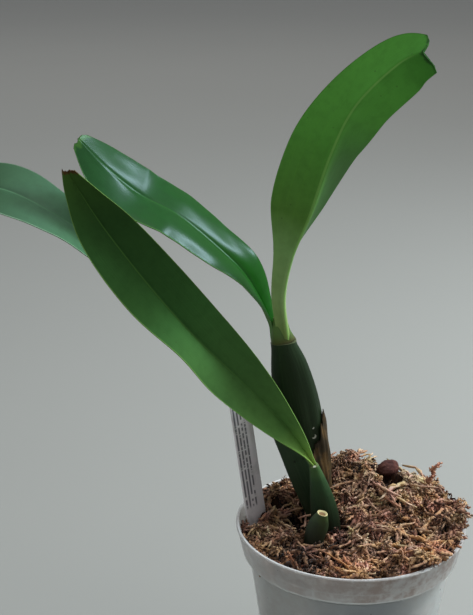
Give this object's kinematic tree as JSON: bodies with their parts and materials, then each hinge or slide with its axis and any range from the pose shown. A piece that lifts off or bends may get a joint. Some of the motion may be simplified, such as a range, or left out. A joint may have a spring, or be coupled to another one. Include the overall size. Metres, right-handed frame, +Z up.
{
  "type": "potted orchid",
  "caption": "Small orchid out of flower with long leathery leaves on pseudobulbs, in a clear nursery pot of dried moss with a plant label.",
  "frame": {"origin": "middle of the pot's flat underside", "axes": "+Z up along the pot's axis, -Y towards the viewer of the picture, +X to the viewer's right"},
  "size_m": [0.2238, 0.1, 0.3017],
  "materials": {
    "pot_plastic": "translucent frosted",
    "dried_moss": "dry fibrous",
    "root": "matte",
    "old_bulb": "satin",
    "left_bulb": "satin",
    "young_stem": "satin",
    "stub": "satin",
    "dry_sheath": "papery",
    "leaf_front": "satin",
    "leaf_tall": "satin",
    "leaf_glossy": "glossy",
    "leaf_far": "satin",
    "label_plastic": "matte",
    "bark": "rough"
  },
  "bodies": {
    "root": {"pot": "pot_plastic", "moss": "dried_moss", "rhizome_roots": "root", "pseudobulb_back": "old_bulb", "pseudobulb_left": "left_bulb", "young_growth": "young_stem", "cut_stub": "stub", "dry_sheath": "dry_sheath", "leaf_front": "leaf_front", "leaf_tall": "leaf_tall", "leaf_glossy": "leaf_glossy", "leaf_far": "leaf_far", "plant_label": "label_plastic", "bark_chip": "bark"}
  },
  "joints": []
}
